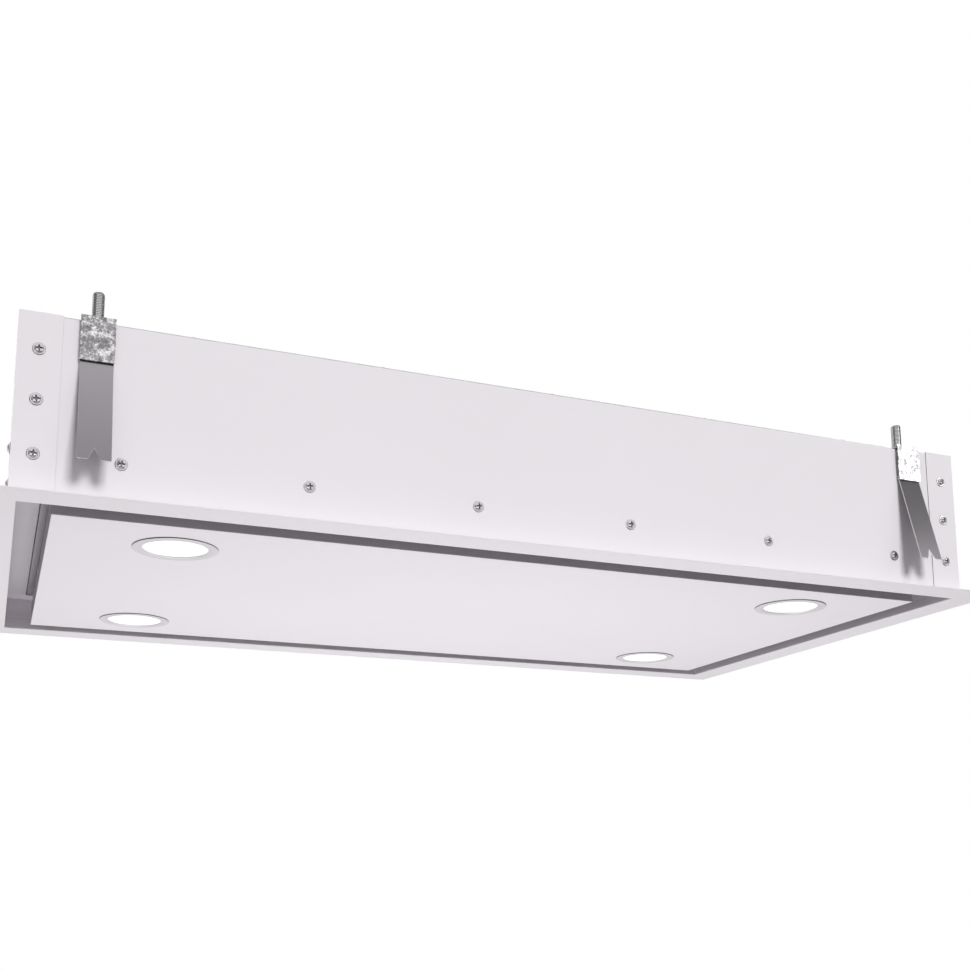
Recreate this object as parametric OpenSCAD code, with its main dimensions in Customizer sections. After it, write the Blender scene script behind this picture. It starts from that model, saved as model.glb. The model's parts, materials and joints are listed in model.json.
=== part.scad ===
// Ceiling range hood with edge suction: a flanged steel housing, a drop-down panel with four
// spot lamps, grease filters, a centrifugal blower with its outlet collar, and four clamps
// that grip the ceiling board. The origin is the centre of the ceiling plane, which is the
// upper side of the flange. +X runs along the hood, +Y away from the viewer, +Z up.

/* [Flange] */
// Length of the visible flange frame
flange_w = 1200; // [1100:10:1500]
// Depth of the visible flange frame
flange_d = 700; // [640:10:900]
// Sheet thickness of the flange frame
flange_t = 1.2; // [0.8:0.1:1.6]
// Width of the flange border on all four sides
border = 41.5; // [41:0.5:48]
// Width of the suction slot round the panel
slot = 33; // [30:1:36]

/* [Housing] */
// Distance from the flange edge to the housing wall
housing_inset = 34; // [33:0.5:35]
// Height of the front panel above the ceiling plane
body_h = 185.2; // [183:1:215]
// Sheet thickness of the housing
sheet_t = 1; // [0.8:0.1:1.2]
// Width of the side panels' returns round the corners
return_w = 41; // [32:1:48]
// Width of the turned-in lips along the top
lip_w = 16; // [14:1:18]

/* [Intake] */
// Height of the slot's side wall above the ceiling plane
liner_h = 40.8; // [39:0.2:46]
// Width of the shelf that shows inside the slot
shelf_reach = 25; // [22:0.5:26]
// Height of the shelf's lips on the long sides and round the filters
shelf_lip_h = 12; // [11:0.5:16]
// Height of the shelf's lips against the side panels
shelf_end_h = 40; // [38:1:46]

/* [Panel] */
// Sheet thickness of the drop-down panel
panel_t = 1; // [0.8:0.1:1.2]
// Height of the panel's rim, from its underside
rim_h = 30; // [28:0.5:31]
// Distance of each hinge from the panel's end
hinge_end = 125.5; // [105:0.5:320]

/* [Lamps] */
// Distance of the lamp centres from the panel's short edges
lamp_edge_x = 130.5; // [100:0.5:200]
// Distance of the lamp centres from the panel's long edges
lamp_edge_y = 82; // [76:0.5:110]
// Outer diameter of the lamp bezel
bezel_d = 91; // [86:1:100]
// Diameter of the lens that shows
lens_d = 69; // [60:1:70]
// Height that the bezel stands proud of the panel
bezel_proud = 1.4; // [1:0.1:2]
// Depth of the lamp body behind the lens
lamp_depth = 18; // [14:1:20]

/* [Clamps] */
// Distance of the clamps from the ends of the housing
clamp_end = 73; // [64:0.5:76]
// Width of the clamp bracket
bracket_w = 33; // [30:0.5:36]
// Sheet thickness of the clamp bracket
bracket_t = 1.5; // [1.2:0.1:1.8]
// Distance from the housing to the bracket's outer face
standoff = 5; // [4.8:0.1:6]
// Height of the bracket's outer leg
bracket_h = 46; // [44:1:52]
// Diameter of the threaded rod
rod_d = 12; // [10:0.5:12]
// Distance from the bracket's outer face to the rod's axis
rod_back = 21; // [20:0.5:22]
// Height that the rod stands above the bracket
rod_above = 33; // [28:1:36]
// Length of the spring tongue
tongue_len = 116.3; // [90:0.5:118]
// Angle that the spring tongue leans out
tongue_lean = 15.9; // [10:0.1:16]
// Thickness of the spring tongue
tongue_t = 1; // [0.8:0.1:1.2]
// Depth of the V notch in the tongue's tip
notch_depth = 13; // [8:0.5:16]
// Width of the V notch in the tongue's tip
notch_w = 11.5; // [8:0.5:14]

/* [Filters] */
// Thickness of a grease filter
filter_t = 9; // [8:0.5:10]
// Width of the filter frame
filter_frame = 14; // [10:1:18]

/* [Blower] */
// Outer diameter of the impeller
impeller_d = 230; // [200:5:240]
// Height of the air space between the filters and the blower casing
air_gap = 27.2; // [24:0.2:34]
// Number of impeller blades
blade_count = 36; // [24:1:40]
// Radial width of the impeller's blade ring
blade_ring = 20; // [14:1:22]
// Thickness of an impeller blade
blade_t = 1.2; // [1:0.1:1.5]
// Diameter of the motor
motor_d = 88; // [76:1:90]
// Diameter of the motor shaft
shaft_d = 8; // [6:0.5:10]

/* [Outlet] */
// Outer diameter of the duct collar
collar_d = 149; // [125:0.5:150]
// Height of the duct collar
collar_h = 50; // [40:1:60]
// Wall of the duct collar
collar_t = 1.2; // [1:0.1:1.5]

/* [Screws] */
// Diameter of the panel screws' heads
head_d = 12.5; // [9:0.5:13]
// Height of the panel screws' heads
head_h = 3.2; // [2.4:0.1:3.6]
// Diameter of the panel screws' shanks
shank_d = 4; // [3:0.1:4.5]
// Screws in the row along each long side
row_count = 6; // [4:1:7]

/* [Hidden] */
$fn = 64;

// Clearances and one overrun for every cut
hole_gap = 0.1;
run_gap = 0.05;
fit_gap = 0.3;
over = 1;

// Main outlines, from the flange inwards
open_w = flange_w - 2 * border;
open_d = flange_d - 2 * border;
panel_w = open_w - 2 * slot;
panel_d = open_d - 2 * slot;
body_w = flange_w - 2 * housing_inset;
body_d = flange_d - 2 * housing_inset;
intake_w = open_w - 2 * shelf_reach;
intake_d = open_d - 2 * shelf_reach;

// Levels, from the ceiling plane upwards
under_z = -flange_t;
seat_depth = 0.3;
foot_z = -seat_depth;
shelf_top = liner_h + sheet_t;
top_z = body_h + sheet_t;
side_h = top_z + sheet_t;

// The housing's inner faces, behind the front panel and the side panels
inner_x = body_w / 2 - sheet_t;
inner_y = body_d / 2 - 2 * sheet_t;
liner_flange = 4;

// Screws in the housing: heights above the shelf, and distances from the housing's ends
corner_edge = 20;
corner_rises = [3, 57, 108];
corner_heights = [for (rise = corner_rises) shelf_top + rise];
row_rise = 2.5;
row_z = shelf_top + row_rise;
row_edge = 100.6;
side_row_rise = 31;
side_row_z = shelf_top + side_row_rise;
side_row_edge = 75;
side_row_count = 5;
top_row_count = 5;
top_row_edge = 166;
top_side_count = 3;
top_side_edge = 116;
screw_len = 9;
head_shares = [[0, 0], [0.5, 0], [0.5, 0.2], [0.4, 0.28], [0.37, 0.52], [0.29, 0.82], [0.16, 1], [0, 1]];
recess_w = 1.3;
recess_len = 6.4;
recess_depth = 1.7;
recess_turn = 20;

// Panel hinges: axis, knuckles and leaves
hinge_x = panel_w / 2 - hinge_end;
hinge_in = 4.5;
hinge_over_rim = 1.2;
hinge_y = panel_d / 2 - panel_t - hinge_in;
hinge_z = under_z + rim_h + hinge_over_rim;
knuckle_r = 4;
hinge_pin_r = 2;
hinge_w = 40;
leaf_t = 1.5;

// Magnetic catches on the near side
catch_lip = 10;
catch_w = 32;
magnet_w = 24;
catch_bracket_t = 1;
catch_reach = 20;
catch_z = under_z + rim_h + fit_gap;

// Lamps
lamp_x = panel_w / 2 - lamp_edge_x;
lamp_y = panel_d / 2 - lamp_edge_y;
bezel_shares = [[0, 0.5], [0.4, 1], [-1, 1], [-0.3, 0.7]];
bezel_neck_t = 1.5;
bezel_neck_h = 8;
lens_seat = 1.7;
lens_t = 2;
fin_count = 12;
fin_w = 3.2;
fin_root_share = 0.55;

// Clamps, in a local frame: y = 0 is the housing's outer face, -y is outwards
clamp_x = body_w / 2 - clamp_end;
rod_in = rod_back - standoff;
bracket_over = 2.6;
bracket_top = side_h + bracket_over;
leg_bottom = bracket_top - bracket_h;
web_w = 24;
web_past_rod = 9;
web_gap = 1;
channel_gap = 0.5;
nut_across = 18;
nut_h = 10;
clamp_down = 26;
channel_w = web_w + 2 * web_gap;
channel_in = rod_in + web_past_rod + web_gap + channel_gap;
notch_bottom = bracket_top - bracket_t - clamp_down - web_gap;
rod_top = bracket_top + rod_above;
rod_collar_r = 10;
rod_collar_h = 5;
rod_flange_h = 4;
rod_foot_z = liner_h - run_gap - rod_flange_h;
rod_flange_gap = 0.5;
rod_flange_r = rod_in - (border - housing_inset) - rod_flange_gap;
socket_across = 6;
socket_depth = 3;
pivot_r = 2;
pivot_pin_r = 1;
pivot_y = -standoff + bracket_t + pivot_r;
pivot_over_leg = 2.5;
pivot_z = leg_bottom + pivot_over_leg;
pivot_mid_w = 12;
pivot_strap_h = 4;
tongue_side = 0.7;
tongue_w = bracket_w - 2 * tongue_side;
clamp_sides = [[-1, -1], [1, -1], [-1, 1], [1, 1]];

// Filters between their rails, one latch and one node each
filter_count = 3;
rail_t = 1;
rail_ledge = 8;
bar_w = 4;
filter_gap = 1;
filter_y0 = -intake_d / 2 + rail_t + filter_gap;
filter_y1 = intake_d / 2 - rail_t - filter_gap;
filter_pitch = (intake_w - (filter_count - 1) * bar_w) / filter_count;
filter_w = filter_pitch - 2 * filter_gap;
filter_z0 = shelf_top;
mesh_inset = 1.5;
latch_w = 40;
latch_d = 20;
latch_h = 4.3;
latch_rise = 0.4;
latch_in = 2;
latch_travel = 6;
nose_w = 20;
nose_h = 2.8;
nose_rise = 1.4;
nose_out = 4.5;
latch_edge = 4;
latch_member = latch_in + latch_d + latch_travel + latch_edge;
thumb_w = 24;
thumb_d = 8;
thumb_depth = 2.5;

// Blower, with its axis upright, discharging into a box under the collar
blower_x = -240;
blower_y = -60;
casing_t = 1.2;
lid_t = 2;
lid_z = body_h - lid_t;
impeller_over = 17.2;
impeller_under = 6.8;
casing_z = shelf_top + filter_t + air_gap;
impeller_z = casing_z + casing_t + impeller_under;
impeller_h = lid_z - impeller_over - impeller_z;
impeller_r = impeller_d / 2;
scroll_gap = 10;
scroll_growth = 75;
scroll_r0 = impeller_r + scroll_gap;
scroll_r1 = scroll_r0 + scroll_growth;
scroll_start = 60;
scroll_sweep = 330;
scroll_steps = 44;
duct_x0 = 150;
duct_x1 = 330;
duct_y0 = 25;
duct_y1 = 70;
tip_turn = 2;
outlet_x = blower_x + (duct_x0 + duct_x1) / 2;
outlet_y = blower_y + (duct_y0 + scroll_r1) / 2;
collar_r = collar_d / 2;
ring_h = 3;
back_t = 3;
dome_gap = 3;
dome_t = 2.5;
dome_r = motor_d / 2 + dome_gap;
motor_foot_r = 55;
motor_foot_t = 3;
motor_up = 34;
motor_z = impeller_z + motor_up;
dome_z = motor_z - dome_gap - dome_t;
hub_r = 10;
hub_h = 10;
shaft_below_hub = 8;
shaft_in_motor = 30;
shaft_z0 = dome_z - hub_h - shaft_below_hub;
shaft_z1 = motor_z + shaft_in_motor;
shaft_nut_h = 5;
nut_z = dome_z - hub_h - shaft_nut_h;
shaft_nut_across = 13;
blade_steps = 6;
blade_sweep = 9;
blade_inset = 0.5;
inlet_gap = 3;
inlet_r = impeller_r - blade_ring - inlet_gap;
inlet_round = 21;
inlet_t = 1.2;
inlet_drop = 9;
inlet_flange = 12;
inlet_steps = 8;

// Collar and its two flaps
collar_base = 20;
collar_z = top_z;
flap_up = 8;
flap_z = collar_z + flap_up;
flap_pin_r = 2;
flap_knuckle_r = 3.4;
flap_t = 1;
flap_gap = 0.8;
flap_r = collar_r - collar_t - flap_gap;
flap_segments = 4;
stop_w = 3;
stop_t = 1.5;

// Electrics
box_end = 116;
box_w = 200;
box_x = body_w / 2 - box_end - box_w;
box_y = -130;
box_d = 200;
box_h = 60;
cover_lip = 8;
driver_x = box_x;
driver_y = 110;
driver_w = 150;
driver_d = 45;
driver_h = 30;
driver_ear = 12;
driver_ear_t = 2;
gland_r = 9.9;
gland_bore_r = 4.5;
gland_across = 24;
gland_hex_h = 5;
gland_dome_h = 15;
gland_below = 10;
gland_nut_h = 4;

// A box from two opposite corners
module span(low, high) {
    translate(low) cube(high - low);
}

// A box centred on the origin in x and y
module plate(w, d, z0, z1) {
    span([-w / 2, -d / 2, z0], [w / 2, d / 2, z1]);
}

// A rectangular frame with a rectangular opening
module frame(w, d, inner_w, inner_d, z0, z1) {
    difference() {
        plate(w, d, z0, z1);
        plate(inner_w, inner_d, z0 - over, z1 + over);
    }
}

// Everything drawn for the left or front side, again mirrored to the other side
module both_x() {
    children();
    mirror([1, 0, 0]) children();
}

module both_y() {
    children();
    mirror([0, 1, 0]) children();
}

// A clamp's place: its local -y points out of the housing
module at_clamp(i) {
    side = clamp_sides[i - 1];
    translate([side[0] * clamp_x, side[1] * body_d / 2, 0])
        rotate([0, 0, side[1] < 0 ? 0 : 180]) children();
}

// Domed head on a washer flange with a cross recess, seated at z = 0 with its shank below
module pan_screw() {
    difference() {
        union() {
            rotate_extrude() polygon([for (share = head_shares) [share[0] * head_d, share[1] * head_h]]);
            translate([0, 0, -screw_len]) cylinder(r = shank_d / 2, h = screw_len);
        }
        for (turn = [0, 90])
            rotate([0, 0, turn + recess_turn])
                plate(recess_len, recess_w, head_h - recess_depth, head_h + over);
    }
}

// The screws' places, each with +z pointing out of the housing
module at_corner_screws() {
    both_x() both_y() for (z = corner_heights)
        translate([-body_w / 2 + corner_edge, -body_d / 2, z]) rotate([90, 0, 0]) children();
}

module at_row_screws() {
    pitch = (body_w - 2 * row_edge) / (row_count - 1);
    both_y() for (i = [0:row_count - 1])
        translate([-body_w / 2 + row_edge + i * pitch, -body_d / 2 + sheet_t, row_z])
            rotate([90, 0, 0]) children();
}

module at_side_screws() {
    pitch = (body_d - 2 * side_row_edge) / (side_row_count - 1);
    both_x() for (i = [0:side_row_count - 1])
        translate([-body_w / 2, -body_d / 2 + side_row_edge + i * pitch, side_row_z])
            rotate([0, -90, 0]) children();
}

module at_top_screws() {
    pitch = (body_w - 2 * top_row_edge) / (top_row_count - 1);
    both_y() for (i = [0:top_row_count - 1])
        translate([-body_w / 2 + top_row_edge + i * pitch, -body_d / 2 + sheet_t + lip_w / 2, top_z])
            children();
}

module at_top_side_screws() {
    pitch = (body_d - 2 * top_side_edge) / (top_side_count - 1);
    both_x() for (i = [0:top_side_count - 1])
        translate([-body_w / 2 + lip_w / 2, -body_d / 2 + top_side_edge + i * pitch, side_h])
            children();
}

module screw_hole() {
    translate([0, 0, -screw_len - over]) cylinder(r = shank_d / 2 + hole_gap, h = screw_len + 2 * over);
}

// Flange frame and slot
module flange_frame() {
    color("gainsboro") difference() {
        frame(flange_w, flange_d, open_w, open_d, under_z, 0);
        plate(body_w + 2 * fit_gap, body_d + 2 * fit_gap, foot_z, over);
    }
}

module slot_liner() {
    color("dimgray") {
        difference() {
            union() {
                plate(open_w + 2 * sheet_t, open_d + 2 * sheet_t, foot_z, liner_h);
                plate(open_w + 2 * (sheet_t + liner_flange), open_d + 2 * (sheet_t + liner_flange),
                    foot_z, foot_z + sheet_t);
            }
            plate(open_w, open_d, -over, liner_h + over);
        }
    }
}

module latch_slots() {
    for (i = [1:filter_count])
        span([filter_x(i) - nose_w / 2 - fit_gap, -intake_d / 2 - sheet_t - over,
                filter_z0 + nose_rise - fit_gap],
            [filter_x(i) + nose_w / 2 + fit_gap, filter_y0,
                filter_z0 + nose_rise + nose_h + fit_gap]);
}

module intake_shelf() {
    color("gray") difference() {
        union() {
            plate(2 * inner_x, 2 * inner_y, liner_h, shelf_top);
            both_y() span([-inner_x, -inner_y, shelf_top],
                [inner_x, -inner_y + sheet_t, shelf_top + shelf_lip_h]);
            both_x() span([-inner_x, -inner_y, shelf_top],
                [-inner_x + sheet_t, inner_y, shelf_top + shelf_end_h]);
            plate(intake_w + 2 * sheet_t, intake_d + 2 * sheet_t, liner_h, shelf_top + shelf_lip_h);
        }
        plate(intake_w, intake_d, liner_h - over, shelf_top + shelf_lip_h + over);
        for (i = [1:4]) at_clamp(i) translate([0, rod_in, liner_h - over])
            cylinder(r = rod_d / 2 + run_gap, h = sheet_t + 2 * over);
        at_corner_screws() screw_hole();
        at_row_screws() screw_hole();
        at_side_screws() screw_hole();
        latch_slots();
    }
}

// Housing panels
module long_panel() {
    difference() {
        union() {
            span([-inner_x, -body_d / 2 + sheet_t, foot_z], [inner_x, -inner_y, body_h]);
            span([-inner_x, -body_d / 2 + sheet_t, body_h - sheet_t],
                [inner_x, -body_d / 2 + sheet_t + lip_w, body_h]);
        }
        for (i = [1:2]) at_clamp(i) {
            span([-channel_w / 2, 0, notch_bottom], [channel_w / 2, channel_in, body_h + over]);
            span([-channel_w / 2 - sheet_t - fit_gap, 2 * sheet_t, body_h - sheet_t - over],
                [channel_w / 2 + sheet_t + fit_gap, channel_in, body_h + over]);
        }
        at_corner_screws() screw_hole();
        at_row_screws() screw_hole();
        at_top_screws() screw_hole();
    }
}

module front_panel() {
    color("whitesmoke") long_panel();
}

module rear_panel() {
    color("whitesmoke") mirror([0, 1, 0]) long_panel();
}

module side_panel() {
    difference() {
        union() {
            span([-body_w / 2, -body_d / 2, foot_z], [-inner_x, body_d / 2, side_h]);
            both_y() span([-body_w / 2, -body_d / 2, foot_z],
                [-body_w / 2 + return_w, -body_d / 2 + sheet_t, side_h]);
            span([-body_w / 2, -body_d / 2, top_z], [-body_w / 2 + lip_w, body_d / 2, side_h]);
        }
        at_corner_screws() screw_hole();
        at_side_screws() screw_hole();
        at_top_side_screws() screw_hole();
    }
}

module left_panel() {
    color("whitesmoke") side_panel();
}

module right_panel() {
    color("whitesmoke") mirror([1, 0, 0]) side_panel();
}

module top_panel() {
    color("lightgray") difference() {
        plate(2 * inner_x, body_d - 2 * sheet_t, body_h, top_z);
        for (i = [1:4]) at_clamp(i)
            span([-channel_w / 2, 0, body_h - over], [channel_w / 2, channel_in, top_z + over]);
        translate([outlet_x, outlet_y, body_h - over])
            cylinder(r = collar_r - collar_t, h = sheet_t + 2 * over, $fn = 128);
        translate([gland_x(), gland_y(), body_h - over])
            cylinder(r = gland_r + hole_gap, h = sheet_t + 2 * over);
        at_top_screws() screw_hole();
        at_top_side_screws() screw_hole();
    }
}

// Channels that close the housing behind the clamps
module clamp_channels() {
    color("silver") for (i = [1:4]) at_clamp(i) difference() {
        span([-channel_w / 2 - sheet_t, 3 * sheet_t, shelf_top],
            [channel_w / 2 + sheet_t, channel_in + sheet_t, body_h]);
        span([-channel_w / 2, -over, shelf_top - over], [channel_w / 2, channel_in, body_h + over]);
    }
}

// Outlet collar with its flaps
module outlet_collar() {
    color("silver") translate([outlet_x, outlet_y, collar_z]) difference() {
        union() {
            cylinder(r = collar_r + collar_base, h = collar_t, $fn = 128);
            cylinder(r = collar_r, h = collar_h, $fn = 128);
        }
        translate([0, 0, -over])
            cylinder(r = collar_r - collar_t - stop_w, h = collar_h + 2 * over, $fn = 128);
        translate([0, 0, flap_z - collar_z - flap_t / 2 - fit_gap])
            cylinder(r = collar_r - collar_t, h = collar_h, $fn = 128);
        translate([0, 0, -over])
            cylinder(r = collar_r - collar_t,
                h = over + flap_z - collar_z - flap_t / 2 - fit_gap - stop_t, $fn = 128);
        translate([0, 0, flap_z - collar_z]) rotate([90, 0, 0])
            cylinder(r = flap_pin_r, h = collar_d + 2 * over, center = true);
    }
}

module flap_pin() {
    color("dimgray") translate([outlet_x, outlet_y, flap_z]) rotate([90, 0, 0])
        cylinder(r = flap_pin_r, h = collar_d - collar_t, center = true);
}

// One half of the damper, with two of the four knuckles along the pin
module flap(first) {
    segment = 2 * (flap_r - stop_w) / flap_segments;
    translate([outlet_x, outlet_y, flap_z]) difference() {
        union() {
            intersection() {
                translate([0, 0, -flap_t / 2]) cylinder(r = flap_r, h = flap_t, $fn = 128);
                span([flap_knuckle_r + flap_gap, -flap_r, -flap_t], [flap_r, flap_r, flap_t]);
            }
            for (k = [first:2:flap_segments - 1])
                translate([0, -flap_r + stop_w + k * segment + fit_gap, 0]) {
                    rotate([-90, 0, 0]) cylinder(r = flap_knuckle_r, h = segment - 2 * fit_gap);
                    span([0, 0, -flap_t / 2],
                        [flap_knuckle_r + 2 * flap_gap, segment - 2 * fit_gap, flap_t / 2]);
                }
        }
        rotate([90, 0, 0]) cylinder(r = flap_pin_r + run_gap, h = collar_d, center = true);
    }
}

module right_flap() {
    color("gray") flap(0);
}

module left_flap() {
    color("gray") translate([outlet_x, outlet_y, 0]) rotate([0, 0, 180])
        translate([-outlet_x, -outlet_y, 0]) flap(0);
}

// Blower casing: a spiral that opens into a straight duct under the collar
function scroll_r(s) = scroll_r0 + (scroll_r1 - scroll_r0) * s;
function scroll_point(s, inset) =
    (scroll_r(s) - inset) * [cos(scroll_start - scroll_sweep * s), sin(scroll_start - scroll_sweep * s)];
function scroll_tip(inset) =
    (scroll_r0 + inset / 2) * [cos(scroll_start + tip_turn), sin(scroll_start + tip_turn)];
function scroll_outline(inset) = concat(
    [for (i = [0:scroll_steps]) scroll_point(i / scroll_steps, inset)],
    [[duct_x1 - inset, scroll_r1 - inset], [duct_x1 - inset, duct_y0 + inset],
        [duct_x0 + inset, duct_y0 + inset], [duct_x0 + inset, duct_y1 + inset]],
    inset > 0 ? [scroll_tip(inset)] : []);

module scroll_solid(inset, z0, z1) {
    translate([blower_x, blower_y, z0]) linear_extrude(z1 - z0) polygon(scroll_outline(inset));
}

module scroll_casing() {
    color("lightsteelblue") difference() {
        scroll_solid(0, casing_z, lid_z);
        scroll_solid(casing_t, casing_z + casing_t, lid_z + over);
        translate([blower_x, blower_y, casing_z - over])
            cylinder(r = impeller_r - blade_ring + inlet_gap, h = casing_t + 2 * over, $fn = 128);
    }
}

module scroll_lid() {
    color("lightsteelblue") difference() {
        scroll_solid(0, lid_z, body_h);
        translate([outlet_x, outlet_y, lid_z - over])
            cylinder(r = collar_r - collar_t, h = lid_t + 2 * over, $fn = 128);
    }
}

// Inlet ring: a rounded lip that leads the air into the impeller
module inlet_ring() {
    centre_r = inlet_r + inlet_round;
    centre_z = casing_z - inlet_drop + inlet_round;
    inside = [for (i = [0:inlet_steps])
        [centre_r - inlet_round * cos(90 * i / inlet_steps),
            centre_z - inlet_round * sin(90 * i / inlet_steps)]];
    outside = [for (i = [inlet_steps:-1:0])
        [centre_r - (inlet_round - inlet_t) * cos(90 * i / inlet_steps),
            centre_z - (inlet_round - inlet_t) * sin(90 * i / inlet_steps)]];
    skirt = [[centre_r + inlet_t, centre_z - inlet_round],
        [centre_r + inlet_t, casing_z - inlet_t], [centre_r + inlet_flange, casing_z - inlet_t],
        [centre_r + inlet_flange, casing_z], [centre_r, casing_z]];
    color("silver") translate([blower_x, blower_y, 0]) rotate_extrude($fn = 128)
        polygon(concat(inside, skirt, outside));
}

module motor() {
    color("darkslategray") translate([blower_x, blower_y, 0]) difference() {
        union() {
            translate([0, 0, motor_z]) cylinder(r = motor_d / 2, h = lid_z - motor_z, $fn = 96);
            translate([0, 0, lid_z - motor_foot_t])
                cylinder(r = motor_foot_r, h = motor_foot_t, $fn = 96);
        }
        translate([0, 0, motor_z - over])
            cylinder(r = shaft_d / 2 + run_gap, h = shaft_z1 - motor_z + 2 * over);
    }
}

module motor_shaft() {
    color("silver") translate([blower_x, blower_y, shaft_z0])
        cylinder(r = shaft_d / 2, h = shaft_z1 - shaft_z0);
}

// Blade outline: an arc that leans forward, drawn as shares of the blade ring
function blade_edge(side) = [for (i = [0:blade_steps])
    let (s = i / blade_steps,
        r = impeller_r - blade_ring + blade_inset + (blade_ring - 2 * blade_inset) * s,
        a = blade_sweep * s * s + side * blade_t / 2 / r * 180 / PI)
        r * [cos(a), sin(a)]];

module blade() {
    polygon(concat(blade_edge(-1), [for (i = [blade_steps:-1:0]) blade_edge(1)[i]]));
}

module impeller() {
    back_z = impeller_z + impeller_h - back_t;
    color("black") translate([blower_x, blower_y, 0]) {
        difference() {
            union() {
                translate([0, 0, impeller_z]) cylinder(r = impeller_r, h = ring_h, $fn = 128);
                translate([0, 0, impeller_z + ring_h / 2])
                    linear_extrude(impeller_h - ring_h / 2 - back_t / 2)
                        for (i = [0:blade_count - 1]) rotate([0, 0, i * 360 / blade_count]) blade();
                translate([0, 0, back_z]) cylinder(r = impeller_r, h = back_t, $fn = 128);
                translate([0, 0, dome_z]) cylinder(r = dome_r + dome_t, h = back_z - dome_z, $fn = 96);
                translate([0, 0, dome_z - hub_h]) cylinder(r = hub_r, h = hub_h + dome_t);
            }
            translate([0, 0, impeller_z - over])
                cylinder(r = impeller_r - blade_ring, h = dome_z - hub_h - impeller_z, $fn = 128);
            translate([0, 0, dome_z + dome_t]) cylinder(r = dome_r, h = impeller_h, $fn = 96);
            translate([0, 0, dome_z - hub_h - over])
                cylinder(r = shaft_d / 2, h = hub_h + dome_t + 2 * over);
        }
    }
}

module impeller_nut() {
    color("silver") translate([blower_x, blower_y, nut_z]) difference() {
        cylinder(r = shaft_nut_across / sqrt(3), h = shaft_nut_h, $fn = 6);
        translate([0, 0, -over]) cylinder(r = shaft_d / 2, h = hub_h);
    }
}

// Electrics under the top panel
function gland_x() = box_x + box_w / 2;
function gland_y() = box_y + box_d / 2;

module control_box() {
    color("lightgray") difference() {
        span([box_x, box_y, body_h - box_h], [box_x + box_w, box_y + box_d, body_h]);
        span([box_x + sheet_t, box_y + sheet_t, body_h - box_h - over],
            [box_x + box_w - sheet_t, box_y + box_d - sheet_t, body_h - sheet_t]);
        translate([gland_x(), gland_y(), body_h - sheet_t - over])
            cylinder(r = gland_r + hole_gap, h = sheet_t + 2 * over);
    }
}

module control_cover() {
    color("silver") difference() {
        span([box_x - sheet_t, box_y - sheet_t, body_h - box_h - sheet_t],
            [box_x + box_w + sheet_t, box_y + box_d + sheet_t, body_h - box_h + cover_lip]);
        span([box_x, box_y, body_h - box_h],
            [box_x + box_w, box_y + box_d, body_h - box_h + cover_lip + over]);
    }
}

module led_driver() {
    color("white") {
        span([driver_x, driver_y, body_h - driver_h],
            [driver_x + driver_w, driver_y + driver_d, body_h]);
        span([driver_x - driver_ear, driver_y + driver_ear, body_h - driver_ear_t],
            [driver_x + driver_w + driver_ear, driver_y + driver_d - driver_ear, body_h]);
    }
}

module cable_gland() {
    color("dimgray") translate([gland_x(), gland_y(), 0]) difference() {
        union() {
            translate([0, 0, top_z]) cylinder(r = gland_across / sqrt(3), h = gland_hex_h, $fn = 6);
            translate([0, 0, top_z + gland_hex_h]) cylinder(r = gland_r, h = gland_dome_h);
            translate([0, 0, body_h - gland_below]) cylinder(r = gland_r, h = gland_below + sheet_t);
            translate([0, 0, body_h - sheet_t - gland_nut_h])
                cylinder(r = gland_across / sqrt(3), h = gland_nut_h, $fn = 6);
        }
        translate([0, 0, body_h - gland_below - over])
            cylinder(r = gland_bore_r, h = side_h + gland_below + gland_hex_h + gland_dome_h);
    }
}

// Drop-down panel
module drop_panel() {
    rim_z = under_z + rim_h;
    color("ghostwhite") difference() {
        union() {
            plate(panel_w, panel_d, under_z, under_z + panel_t);
            frame(panel_w, panel_d, panel_w - 2 * panel_t, panel_d - 2 * panel_t, under_z, rim_z);
            span([-panel_w / 2, -panel_d / 2, rim_z - panel_t],
                [panel_w / 2, -panel_d / 2 + catch_lip, rim_z]);
        }
        both_x() both_y() translate([-lamp_x, -lamp_y, under_z - over])
            cylinder(r = neck_r() + hole_gap, h = panel_t + 2 * over);
    }
}

// Lamps in the panel
function neck_r() = lens_d / 2 + lens_seat + bezel_neck_t;
function lamp_place(i) = [clamp_sides[i - 1][0] * lamp_x, clamp_sides[i - 1][1] * lamp_y, under_z];

module lamp_bezel(i) {
    outer = bezel_d / 2;
    inner = lens_d / 2;
    color("lightgray") translate(lamp_place(i)) rotate_extrude($fn = 96) polygon([
        for (k = [0:3]) [k < 2 ? inner : outer, 0]
            + [bezel_shares[k][0], -bezel_shares[k][1]] * bezel_proud,
        [outer, 0], [neck_r(), 0], [neck_r(), bezel_neck_h],
        [inner + lens_seat, bezel_neck_h], [inner + lens_seat, 0], [inner, 0]
    ]);
}

module lamp_lenses() {
    color("white") for (i = [1:4]) translate(lamp_place(i))
        cylinder(r = lens_d / 2 + lens_seat, h = lens_t, $fn = 96);
}

module lamp_bodies() {
    fin_r = lens_d / 2 + lens_seat;
    color("silver") for (i = [1:4]) translate(lamp_place(i) + [0, 0, lens_t]) difference() {
        cylinder(r = fin_r, h = lamp_depth, $fn = 96);
        translate([0, 0, bezel_neck_h]) for (k = [0:fin_count - 1])
            rotate([0, 0, k * 360 / fin_count])
                span([fin_r * fin_root_share, -fin_w / 2, 0], [fin_r + over, fin_w / 2, lamp_depth]);
    }
}

// Panel hinges on the far side
module at_hinges() {
    both_x() translate([-hinge_x, hinge_y, hinge_z]) children();
}

module knuckle(x0, x1, r) {
    translate([x0, 0, 0]) rotate([0, 90, 0]) cylinder(r = r, h = x1 - x0);
}

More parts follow.
